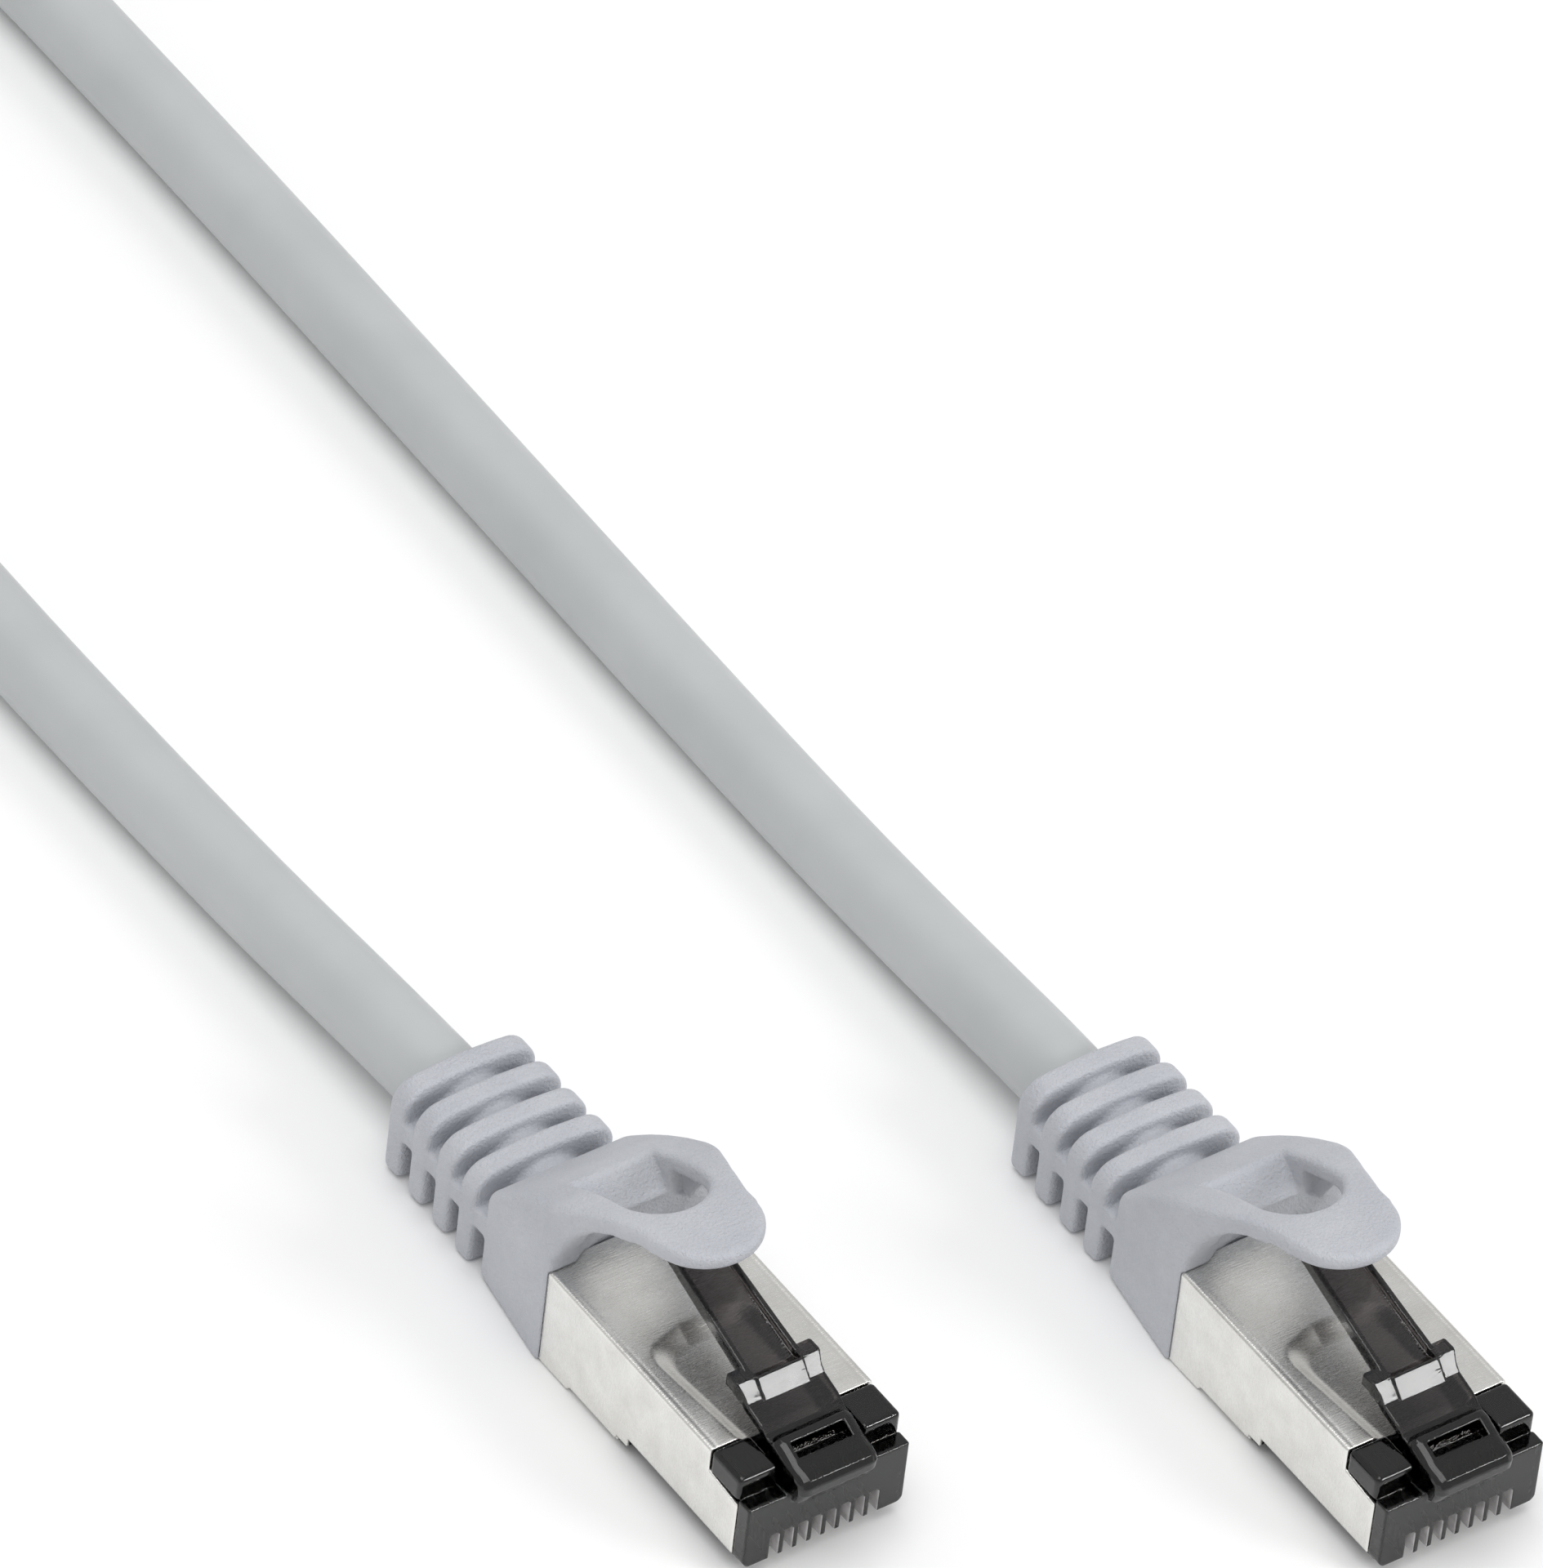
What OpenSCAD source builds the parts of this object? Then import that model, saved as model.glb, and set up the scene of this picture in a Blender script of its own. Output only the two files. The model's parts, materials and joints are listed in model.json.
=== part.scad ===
// Shielded 8P8C patch cable: two identical plugs on one round cable.
// Each plug is drawn in its own frame: nose towards -Y, cable towards +Y,
// Y = 0 at the front edge of the shell's top face, Z = 0 on the surface it lies on.
// The whole cable has its origin at the middle of the two plugs, on that surface.

/* [Plug] */
// Width across the shield shell
shell_w = 11.6; // [11.5:0.1:11.8]
// Height of the shell's top face
shell_top = 7.4; // [7.3:0.1:7.5]
// Height of the underside of the shell's front section
front_z = 1.4; // [1.3:0.1:1.5]
// Thickness of the shell's sheet
sheet = 0.25; // [0.2:0.05:0.3]
// Pitch of the contacts
pitch = 1.016; // [1.016]
// Width of the housing's nose
nose_w = 11.5; // [11.4:0.05:11.6]
// How far the nose stands in front of the shell's top edge
nose_len = 4.15; // [4:0.05:4.3]

/* [Latch] */
// Width of the latch at its shoulders
latch_w = 6.0; // [5.9:0.1:6.2]
// Width of the latch's narrow tab
tab_w = 3.5; // [3.2:0.1:3.9]
// How far back the tab reaches
tab_end = 12.3; // [11.5:0.1:12.4]

/* [Boot] */
// Width of the boot over the plug's sides
boot_w = 12.1; // [12.0:0.1:12.4]
// Width of the boot's rear face, behind its last slot
boot_back_w = 9.9; // [9.6:0.1:10.2]
// Number of rib rings
ribs = 4; // [3:1:4]
// Distance from one rib ring to the next
rib_pitch = 2.6; // [2.6:0.05:2.7]
// Thickness of a rib ring
rib_t = 1.55; // [1.4:0.05:1.6]
// Thickness of the hood's plate
hood_t = 1.15; // [1.1:0.05:1.3]

/* [Cable] */
// Outside diameter of the cable
cable_d = 5.4; // [5.4]
// Distance between the two plugs across their width
plug_dx = 32.6; // [32.2:0.2:33]
// How far the second plug lies in front of the first
plug_dy = 18.6; // [18:0.2:19.2]

/* [Hidden] */
eps = 0.02;

// Wires and contacts
wires = 8;
wire_r = 0.475;
channel_r = 0.5;
row_low = 3.9;
row_high = 5.0;
contact_t = 0.3;
contact_y0 = -2.5;
contact_y1 = 1.2;

// Nose and latch root
nose_z = 1.0;
ledge_z = 5.85;
block_y = -3.05;
latch_gap = 3.1;
root_w = 5.7;
root_y = -5.25;
latch_pivot = [-3.2, 7.6];
latch_r = 0.62;
knuckle_gap = 0.1;

// Shell
step_y = 7.7;
shell_end = 18;
side_front = -3.0;
collar_y = 19.2;
collar_len = 2.8;

// Cable inside the plug
cable_r = cable_d / 2;
cable_z = shell_top / 2;
bore_r = 2.25;
bundle_r = 1.6;
fan_y = 8.3;
jacket_y = 12.5;
braid_t = 0.5;
braid_y = 18.3;
braid_len = 4.2;

// Boot
flap_y = 16.6;
boot_back_y = 24.4;
rib_first_y = 25.4;
boot_end = rib_first_y + (ribs - 1) * rib_pitch + rib_t;
rib_round = 1.5;
rib_w = [10.0, 9.75, 9.45, 9.1];
rib_low = [0.75, 0.85, 0.95, 1.05];
rib_high = [7.65, 7.65, 7.6, 7.55];
core_r = 3.05;
web_h = 1.7;
web_t = 1.2;

// Hood: its top rises forward from the back of the boot
hood_front = 6.5;
hood_tip_r = 3.6;
hood_root_y = 17.2;
hood_root_w = 11.0;
hood_pivot = [17.9, 10.4];
hood_r = 1.6;
hood_gap = 0.15;
loop_r = 2.9;
loop_y = 14.15;
loop_back = 19.3;
arch_y = 13.1;
arch_z = 8.1;
arch_top = 12.7;

// Placing of the two plugs, and the cable's route between them
plug_span = boot_end - root_y;
place_a_y = plug_dy / 2 - plug_span / 2 - root_y;
place_b_y = place_a_y - plug_dy;

// The coil lies behind the plugs, on the middle line
coil_y = 172;
coil_in = 24;
coil_out = 29.4;
coil_lift = 0.8;
tie_w = 8;
tie_t = 0.8;

// Each lead starts at the back of its boot
plug_x = plug_dx / 2;
lead_a = [
    [-plug_x, place_a_y + boot_end, cable_z], [-16.4, 34, 3.6], [-16.5, 40, 3.3],
    [-16.7, 48, 2.9], [-16.9, 57, 2.7], [-17.1, 66, 2.7], [-17.2, 74, 2.7],
    [-17.2, 84, 2.7], [-17.5, 94, 2.7], [-18.4, 105.5, 2.7], [-20.2, 117, 2.7],
    [-23.1, 130, 2.8], [-26.1, 143, 3.0], [-28.2, 154, 3.3], [-29.2, 164, 3.5]
];
lead_b = [
    [plug_x, place_b_y + boot_end, cable_z], [16.3, 15.5, 3.6], [16.3, 21, 3.3],
    [16.3, 29, 2.9], [16.3, 38, 2.7], [16.4, 54, 2.7], [16.6, 68, 2.7],
    [16.8, 82, 2.7], [17.0, 96, 2.7], [17.1, 109, 2.7], [17.1, 121, 2.7],
    [17.1, 129.5, 2.8], [17.7, 136.2, 3.5], [18.9, 140.1, 4.6], [20.4, 143.7, 6.1],
    [22.0, 147.3, 7.5], [23.7, 151.1, 8.4], [27.0, 157.8, 8.8], [28.8, 164.9, 8.9]
];
tube_sides = 10;

$fn = 64;

// ---- Shared shapes ----

// A bar along Y with its side profile given in the plug's Y and Z
module profile_bar(width, points) {
    translate([-width / 2, 0, 0])
        rotate([90, 0, 90])
            linear_extrude(width)
                polygon(points);
}

// A round bar along X at a place in Y and Z
module cross_bar(width, r, place) {
    translate([-width / 2, place[0], place[1]])
        rotate([0, 90, 0])
            cylinder(h = width, r = r);
}

// A round bar along Y between two values of Y
module rod(x, z, r, y0, y1) {
    translate([x, y0, z])
        rotate([-90, 0, 0])
            cylinder(h = y1 - y0, r = r);
}

// A box from its low corner to its high corner
module block(low, high) {
    translate(low)
        cube(high - low);
}

// A rectangle with rounded corners, centred in X, from z0 up to z1
module rounded_face(width, z0, z1, r) {
    translate([-width / 2 + r, z0])
        square([width - 2 * r, z1 - z0]);
    translate([-width / 2, z0 + r])
        square([width, z1 - z0 - 2 * r]);
    for (side = [-1, 1], z = [z0 + r, z1 - r])
        translate([side * (width / 2 - r), z])
            circle(r);
}

function wire_x(i) = (i - (wires + 1) / 2) * pitch;
function wire_z(i) = i % 2 == 1 ? row_high : row_low;

// Where wire i lies in the round bundle: the high row above, the low row below
function bundle_angle(i) = i % 2 == 1 ? 180 - 22.5 * i : 180 + 22.5 * (i - 1);

function hood_z(y) = 7.87 + 0.758 * (24.6 - y) - 0.01925 * pow(24.6 - y, 2);

// ---- Plug ----

module housing() {
    inner = shell_w - 2 * sheet - 0.1;
    color([0.12, 0.11, 0.11])
        difference() {
            union() {
                block([-inner / 2, -0.5, front_z + sheet + 0.05], [inner / 2, 17.4, shell_top - sheet - 0.05]);
                block([-inner / 2, step_y + 0.4, sheet + 0.05], [inner / 2, 17.4, 4]);
                nose();
                latch_root();
            }
            wire_channels();
            contact_slots();
            cable_entry();
            cross_bar(root_w + 1, latch_r + knuckle_gap, latch_pivot);
            latch_sweep();
        }
}

// The nose: front face, ledge, and one raised block on each side of the latch
module nose() {
    block([-nose_w / 2, -nose_len, nose_z], [nose_w / 2, side_front - eps, ledge_z]);
    block([-shell_w / 2 + sheet + 0.05, side_front - eps, nose_z], [shell_w / 2 - sheet - 0.05, 2.8, ledge_z]);
    for (side = [-1, 1])
        translate([side * (nose_w / 2 + latch_gap) / 2, 0, 0])
            block([-(nose_w / 2 - latch_gap) / 2, block_y, 5.78], [(nose_w / 2 - latch_gap) / 2, -eps, shell_top]);
}

// The root block stands out over the nose, and the latch springs from its top
module latch_root() {
    y0 = root_y;
    profile_bar(root_w, [
        [y0, ledge_z - 0.05], [y0, 7.2], [y0 + 0.25, 7.65], [y0 + 0.7, 7.95], [y0 + 1.4, 8.15],
        [latch_pivot[0], 8.25], [latch_pivot[0] + 0.4, 6.6], [-1.5, 6.5], [-1.5, 5.4], [-3.5, 5.4],
        [-nose_len, ledge_z - 0.05]
    ]);
}

// Room behind and above the knuckle for the latch's beam
module latch_sweep() {
    beam_y = latch_pivot[0];
    block([-root_w / 2 - 0.2, beam_y, 6.9], [root_w / 2 + 0.2, 0.5, 9]);
}

module wire_channels() {
    for (i = [1 : wires])
        rod(wire_x(i), wire_z(i), channel_r, contact_y0 + 0.3, fan_y);
    block([-4.7, 4.2, 3.0], [4.7, fan_y, 5.9]);
}

// Slots open to the front and below, and a narrow slot up to each wire
module contact_slots() {
    slot_w = 0.62;
    for (i = [1 : wires]) {
        translate([wire_x(i), 0, 0])
            block([-slot_w / 2, -nose_len - 1, 0.5], [slot_w / 2, contact_y0 + 0.4, 2.9]);
        translate([wire_x(i), 0, 0])
            block([-contact_t / 2 - 0.04, contact_y0 - 0.1, 0.5], [contact_t / 2 + 0.04, contact_y1 + 0.1, wire_z(i)]);
    }
}

// The hollow behind the load bar, where the wires fan in, and the jacket's seat
module cable_entry() {
    block([-4.7, fan_y - eps, 1.9], [4.7, jacket_y + 0.1, 6.3]);
    rod(0, cable_z, cable_r + 0.05, jacket_y - 0.5, 18);
}

module latch() {
    knuckle_w = root_w - 0.2;
    color([0.14, 0.13, 0.13])
        difference() {
            union() {
                cross_bar(knuckle_w, latch_r, latch_pivot);
                profile_bar(knuckle_w, [
                    [-3.2, 7.6], [-3.2, 8.22], [-1.8, 8.4], [0.3, 8.9], [0.3, 8.15], [-0.2, 7.95], [-2.6, 7.45]
                ]);
                profile_bar(latch_w, [
                    [-0.65, 8.66], [-0.1, 9.6], [1.5, 9.95], [2.5, 9.8], [2.5, 8.6], [0.1, 8.06], [-0.65, 7.9]
                ]);
                profile_bar(tab_w, [
                    [2.0, 9.6], [tab_end - 0.4, 12.3], [tab_end, 12.1], [tab_end, 11.6], [2.6, 8.62], [2.0, 8.5]
                ]);
            }
            // channel along the top of the tab, between its two side ribs
            profile_bar(tab_w - 1.0, [[2.7, 11], [2.7, 9.25], [9.5, 11.22], [9.5, 13]]);
            // the ramp is dished between its side cheeks
            profile_bar(latch_w - 1.8, [[-1.2, 9.5], [-0.6, 8.9], [0.1, 9.25], [0.3, 10.5], [-1.2, 10.5]]);
        }
}

module shield_shell() {
    w = shell_w / 2;
    color([0.78, 0.78, 0.76])
        difference() {
            union() {
                profile_bar(shell_w, [
                    [0, shell_top], [0, 5.75], [side_front, 5.4], [side_front, front_z],
                    [step_y, front_z], [step_y, 0], [shell_end, 0], [shell_end, shell_top]
                ]);
                block([-2, shell_end - 1, shell_top - sheet], [2, collar_y + collar_len, shell_top]);
                rod(0, cable_z, cable_r + braid_t + 0.3, collar_y, collar_y + collar_len);
            }
            // the inside of the folded sheet
            block([-w + sheet, -5, front_z + sheet], [w - sheet, shell_end + 0.5, shell_top - sheet]);
            block([-w + sheet, step_y + sheet, sheet], [w - sheet, shell_end + 0.5, 4]);
            // the underside is open at the contacts
            block([-w + sheet, -5, 0], [w - sheet, 3, 3]);
            block([-w + sheet, -5, 4], [w - sheet, -eps, 8]);
            rod(0, cable_z, cable_r + braid_t, collar_y - 5, collar_y + collar_len + 1);
            // shallow recess under the latch
            block([-3.4, 1.2, shell_top - 0.12], [3.4, 8.4, shell_top + 1]);
        }
}

module load_bar() {
    color([0.85, 0.86, 0.84])
        difference() {
            block([-4.6, 4.3, 3.1], [4.6, fan_y - 0.1, 5.8]);
            for (i = [1 : wires])
                rod(wire_x(i), wire_z(i), channel_r, 4, fan_y + 1);
        }
}

// One blade: a flat body with two points that reach up to its wire
module contact(i) {
    top = wire_z(i) - wire_r - 0.03;
    color([0.83, 0.68, 0.3])
        translate([wire_x(i), 0, 0])
            profile_bar(contact_t, [
                [contact_y0, 1.9], [contact_y0 + 0.6, 1.3], [contact_y1 - 0.2, 1.3], [contact_y1, 1.5],
                [contact_y1, 2.6], [0.9, 2.6], [0.6, top], [0.2, 2.9],
                [-0.8, 2.9], [-1.2, top], [-1.6, 2.9], [contact_y0, 2.8]
            ]);
}

// A wire's route: straight through the load bar, then an easy bend into the round bundle
function wire_path(i) =
    let (
        a = bundle_angle(i),
        from = [wire_x(i), wire_z(i)],
        to = [bundle_r * cos(a), cable_z + bundle_r * sin(a)]
    )
    concat(
        [[from[0], contact_y0 + 0.4, from[1]]],
        [for (t = [0 : 0.2 : 1.01])
            let (ease = t * t * (3 - 2 * t), at = from + ease * (to - from))
            [at[0], fan_y + t * (jacket_y - fan_y), at[1]]],
        [[to[0], boot_end, to[1]]]
    );

module conductor(i) {
    tones = [[0.9, 0.55, 0.2], [0.25, 0.6, 0.35], [0.2, 0.4, 0.75], [0.45, 0.3, 0.2]];
    color(i % 2 == 1 ? [0.92, 0.92, 0.9] : tones[floor((i - 1) / 2)])
        tube(wire_path(i), wire_r);
}

module foil_wrap() {
    color([0.8, 0.82, 0.85])
        sleeve(bore_r - 0.11, bore_r - 0.05, jacket_y + 0.6, boot_end);
}

module braid_fold() {
    color([0.7, 0.7, 0.7])
        sleeve(cable_r, cable_r + braid_t - eps, braid_y, braid_y + braid_len);
}

module jacket_end() {
    color([0.73, 0.74, 0.75])
        sleeve(bore_r, cable_r, jacket_y, boot_end);
}

module sleeve(r_in, r_out, y0, y1) {
    difference() {
        rod(0, cable_z, r_out, y0, y1);
        rod(0, cable_z, r_in, y0 - 1, y1 + 1);
    }
}

// ---- Boot ----

// The boot seen from above: it narrows towards the ribs
module boot_plan() {
    linear_extrude(40)
        polygon([
            [-boot_back_w / 2, boot_back_y], [-boot_w / 2, flap_y],
            [boot_w / 2, flap_y], [boot_back_w / 2, boot_back_y]
        ]);
}

// The hood seen from above: a round tip that widens to the boot
module hood_plan() {
    half = hood_root_w / 2;
    tip = [for (a = [164 : 13.25 : 376])
        [hood_tip_r * cos(a), hood_front + hood_tip_r + hood_tip_r * sin(a)]];
    linear_extrude(40)
        polygon(concat(tip, [
            [half, hood_root_y], [half, 20.5], [-half, 20.5], [-half, hood_root_y]
        ]));
}

// The hood's opening seen from above: straight at the back, round at the front
module loop_plan() {
    linear_extrude(40) {
        translate([0, loop_y])
            circle(loop_r);
        translate([-loop_r, loop_y])
            square([2 * loop_r, loop_back - loop_y]);
    }
}

module boot() {
    top_line = [for (y = [hood_pivot[0] : 1.3 : boot_back_y]) [y, hood_z(y)]];
    color([0.72, 0.73, 0.77])
        difference() {
            union() {
                intersection() {
                    profile_bar(20, concat(
                        [[boot_back_y, 0.7], [flap_y, 0], [flap_y, 8.9], hood_pivot],
                        top_line
                    ));
                    boot_plan();
                }
                rod(0, cable_z, core_r, boot_back_y - 1, boot_end - rib_t);
                rib_rings();
                side_webs();
            }
            // the plug's rear end and its crimp collar
            block([-shell_w / 2, flap_y - 1, -1], [shell_w / 2, shell_end + 0.1, shell_top]);
            rod(0, cable_z, cable_r + braid_t + 0.35, shell_end, braid_y + braid_len + 0.1);
            block([-2.1, shell_end, 6], [2.1, collar_y + collar_len + 0.1, shell_top + 0.05]);
            rod(0, cable_z, cable_r, shell_end, boot_end + 1);
            // sockets that the hood's two arms turn in
            cross_bar(20, hood_r + hood_gap, hood_pivot);
            // the slope at the back of the loop
            profile_bar(2 * loop_r, [[15, 9.2], [flap_y, 9.2], [loop_back, 11.35], [loop_back, 16], [15, 16]]);
        }
}

module rib_rings() {
    for (i = [0 : ribs - 1])
        translate([0, rib_first_y + i * rib_pitch + rib_t, 0])
            rotate([90, 0, 0])
                linear_extrude(rib_t)
                    rounded_face(rib_w[i], rib_low[i], rib_high[i], rib_round);
}

// Small webs at mid-height join the rings on both sides
module side_webs() {
    mid = (rib_low[0] + rib_high[0]) / 2 - 0.2;
    for (side = [-1, 1], i = [0 : ribs - 1]) {
        outer = rib_w[i] / 2 - 0.15;
        y = rib_first_y + i * rib_pitch;
        translate([side * (outer - web_t / 2), 0, 0])
            block([-web_t / 2, y - 1.1, mid - web_h / 2], [web_t / 2, y + 0.1, mid + web_h / 2]);
    }
}

module hood() {
    tip = [for (y = [hood_pivot[0] : -1.14 : hood_front]) [y, hood_z(y)]];
    under = [for (y = [hood_front : 1.32 : arch_y]) [y, hood_z(y) - hood_t]];
    arch = [for (a = [75 : -15 : 30])
        [arch_y + 3.5 * cos(a), arch_z + (arch_top - arch_z) * sin(a)]];
    color([0.72, 0.73, 0.77])
        difference() {
            intersection() {
                union() {
                    profile_bar(20, concat(tip, under, arch, [[hood_pivot[0], 10.2]]));
                    cross_bar(20, hood_r, hood_pivot);
                }
                hood_plan();
            }
            loop_plan();
        }
}

// ---- Cable ----

function unit(v) = v / norm(v);

// Direction of the route at point i
function heading(path, i) =
    i == 0 ? [0, 1, 0] : unit(path[min(i + 1, len(path) - 1)] - path[i - 1]);

// A ring of points round point i of the route, in the plane across it
function ring(path, i, r) =
    let (t = heading(path, i), side = unit(cross(t, [0, 0, 1])), up = cross(side, t))
    [for (k = [0 : tube_sides - 1])
        let (a = 360 * (k + 0.5) / tube_sides)
        path[i] + r * cos(a) * side + r * sin(a) * up];

module tube(path, r) {
    last = len(path) - 1;
    n = tube_sides;
    points = [for (i = [0 : last]) each ring(path, i, r)];
    walls = [for (i = [0 : last - 1], k = [0 : n - 1])
        [i * n + k, i * n + (k + 1) % n, (i + 1) * n + (k + 1) % n, (i + 1) * n + k]];
    polyhedron(
        points = points,
        faces = concat(
            walls,
            [[for (k = [n - 1 : -1 : 0]) k]],
            [[for (k = [0 : n - 1]) last * n + k]]
        )
    );
}

module cable_lead(path) {
    color([0.73, 0.74, 0.75])
        tube(path, cable_r);
}

// The wound length: two turns wide and two turns high
module cable_coil() {
    low = coil_lift;
    high = coil_lift + 2 * cable_d;
    color([0.73, 0.74, 0.75])
        translate([0, coil_y, 0])
            rotate_extrude()
                translate([(coil_in + coil_out) / 2, 0])
                    rounded_face(coil_out - coil_in + cable_d, low, high, cable_r * 0.9);
}

// A hook-and-loop strap round the far side of the coil
module cable_tie() {
    inner = coil_in - cable_r;
    outer = coil_out + cable_r;
    high = coil_lift + 2 * cable_d;
    color([0.15, 0.15, 0.16])
        translate([0, coil_y, 0])
            difference() {
                block([-tie_w / 2, inner - tie_t - 0.5, 0], [tie_w / 2, outer + tie_t, high + tie_t]);
                block([-tie_w, inner - 0.5, coil_lift], [tie_w, outer, high]);
            }
}

// ---- The assembly ----

module place(end) {
    translate(end == "a" ? [-plug_dx / 2, place_a_y, 0] : [plug_dx / 2, place_b_y, 0])
        children();
}

for (end = ["a", "b"]) {
    place(end) housing();
    place(end) latch();
    place(end) shield_shell();
    place(end) load_bar();
    place(end) foil_wrap();
    place(end) braid_fold();
    place(end) jacket_end();
    place(end) boot();
    place(end) hood();
    for (i = [1 : wires]) {
        place(end) contact(i);
        place(end) conductor(i);
    }
}
cable_lead(lead_a);  // cable_lead_a
cable_lead(lead_b);  // cable_lead_b
cable_coil();
cable_tie();
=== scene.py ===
"""An ethernet patch cable: two shielded plugs on one round grey cable, coiled behind them."""
import json
import math

import bmesh
import bpy
import numpy as np
from mathutils import Matrix, Vector


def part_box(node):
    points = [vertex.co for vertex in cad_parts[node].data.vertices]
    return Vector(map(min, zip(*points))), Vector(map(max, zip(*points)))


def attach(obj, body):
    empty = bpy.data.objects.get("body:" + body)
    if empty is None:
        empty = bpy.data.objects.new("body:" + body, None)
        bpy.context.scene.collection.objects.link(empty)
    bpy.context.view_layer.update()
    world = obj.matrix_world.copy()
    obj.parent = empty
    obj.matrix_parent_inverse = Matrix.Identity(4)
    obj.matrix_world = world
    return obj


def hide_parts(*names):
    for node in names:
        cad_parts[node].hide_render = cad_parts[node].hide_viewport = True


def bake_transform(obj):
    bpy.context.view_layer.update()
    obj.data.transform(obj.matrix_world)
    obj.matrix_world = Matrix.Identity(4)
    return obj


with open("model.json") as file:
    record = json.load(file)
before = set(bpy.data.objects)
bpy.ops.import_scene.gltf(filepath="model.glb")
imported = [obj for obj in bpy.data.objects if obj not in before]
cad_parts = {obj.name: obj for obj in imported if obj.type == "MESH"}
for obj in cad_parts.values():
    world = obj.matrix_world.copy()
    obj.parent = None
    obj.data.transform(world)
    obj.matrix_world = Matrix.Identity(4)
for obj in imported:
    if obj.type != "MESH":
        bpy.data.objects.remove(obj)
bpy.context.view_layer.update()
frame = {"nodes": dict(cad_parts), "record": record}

MM = 0.001
ENDS = ("a", "b")

# The plug's own sizes, in its millimetres: nose towards -Y, cable towards +Y, Z = 0 on the floor
SHELL_W = 11.6
SHELL_TOP = 7.4
SHEET = 0.25           # the shell's thickness
SIDE_FRONT = -3.0      # where the shell's sides start
SHELL_BACK = 17.3      # where the shell ends, inside the boot
HOLLOW_DEPTH = 0.62    # the pressed hollow in the shell's top
CABLE_D = 5.4
CABLE_Z = 3.7          # the cable's middle where it enters the boot

# The housing's nose
NOSE_HALF = 5.75       # half its width
NOSE_FRONT = -4.15
NOSE_LOW = 1.0
NOSE_TOP = 5.85        # the ledge in front of the side blocks
NOSE_END = 2.9         # behind this the shell hides the housing
INNER_HALF = 5.5       # half the width of what the shell goes round
INNER_TOP = 7.1
ROOT_HALF = 2.85       # half the width of the block that the latch springs from
BLOCK_FROM = 3.1       # the side blocks start this far from the middle
WIRES = 8
PITCH = 1.016          # between two contacts
WIRE_R = 0.5
WIRE_ROWS = (5.0, 3.9)
BLADE_HALF = 0.19
SLOT_HALF = 0.31
SLOT_TOP = 2.9
SLOT_BACK = -2.1
COMB_HALF = 4.5        # the slots and the teeth between them lie this near to the middle
COMB_TOP = 2.75        # painted light: the teeth's walls get a lighter, opaque grey up to here

# The latch
LATCH_HALF = 2.8
SHOULDER = 0.22        # how far a shoulder stands out at each side
FACET_HALF = 1.67      # the middle of the front facet
TAB_HALF = 1.96        # at the tab's front, from where it narrows
TAB_TAPER = 0.032
TAB_WALL = 0.4         # beside the tab's channel

# The boot's and the hood's sizes, in the same millimetres
FLAP_Y = 16.6          # where the boot's side flaps start
BOOT_BACK = 24.4       # the back of the boot's solid part
TIP_Y = 10.1           # the middle of the hood's round tip
TIP_R = 3.6
ROUND = 0.55           # the moulding's edges
RIB_FIRST = 25.4       # the front of the first rib
RIB_STEP = 2.6
RIB_T = 1.55
RIB_TOP = 6.9
RIB_CROWN = 0.45       # how far a rib's top is arched
CORE_R = 2.84          # the round core that the ribs stand on
RIB_HALF = (5.05, 4.95, 4.9, 4.8)      # half the width of each rib, from the boot to the cable
RIB_LOW = (0.05, 0.1, 0.15, 0.2)       # the height of each rib's underside
# The hood's half width at each of these distances along the plug
HOOD_Y = (9.2, 11.2, 13.6, 15.5, 17.2, 19)
HOOD_HALF = (3.35, 3.8, 4.5, 5.2, 5.8, 6.0)
# The round front of the opening in the hood, and the opening's straight back edge
RING_Y = 14.45
RING_R = 2.8
OPENING_BACK = 19.35
# The line between the opening's slope and the inner wall under its lip
LIP_Y = 17.15

# How much light the smoky plastic takes up, per metre
SMOKE = 5500
# The Mix node has one socket of each name per data type: these are the colour ones
MIX_A = 6
MIX_B = 7
MIX_RESULT = 2


def plug_place(end):
    """Where a plug's own origin lies: the shell's front corner gives its Y, its middle gives its X."""
    low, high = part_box("shield_shell_" + end)
    return Vector(((low[0] + high[0]) / 2, low[1] - SIDE_FRONT * MM, 0))


# ---------------------------------------------------------------- camera and cord

def add_camera():
    """A long lens that looks down on the plugs from the front left, leaning a little."""
    azimuth, elevation, roll = 39.70, 43.60, -7.12
    target = Vector((17.95, 44.8, 0)) * MM
    distance = 1.3
    data = bpy.data.cameras.new("camera")
    data.sensor_width = 36
    data.lens = 491.9
    data.clip_start = 0.05
    data.clip_end = 20
    camera = bpy.data.objects.new("camera", data)
    bpy.context.collection.objects.link(camera)
    a, e = math.radians(azimuth), math.radians(elevation)
    forward = Vector((math.sin(a) * math.cos(e), math.cos(a) * math.cos(e), -math.sin(e)))
    turn = forward.to_track_quat("-Z", "Y").to_matrix().to_4x4()
    lean = Matrix.Rotation(math.radians(roll), 4, forward)
    camera.matrix_world = Matrix.Translation(target - forward * distance) @ lean @ turn
    bpy.context.scene.camera = camera


# The cord's route in millimetres: two listed leads, and a round coil between them
COIL_Y = 172
COIL_IN = 24
COIL_OUT = 29.4
LAYER_LOW = 3.5
LAYER_HIGH = 8.9
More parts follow.
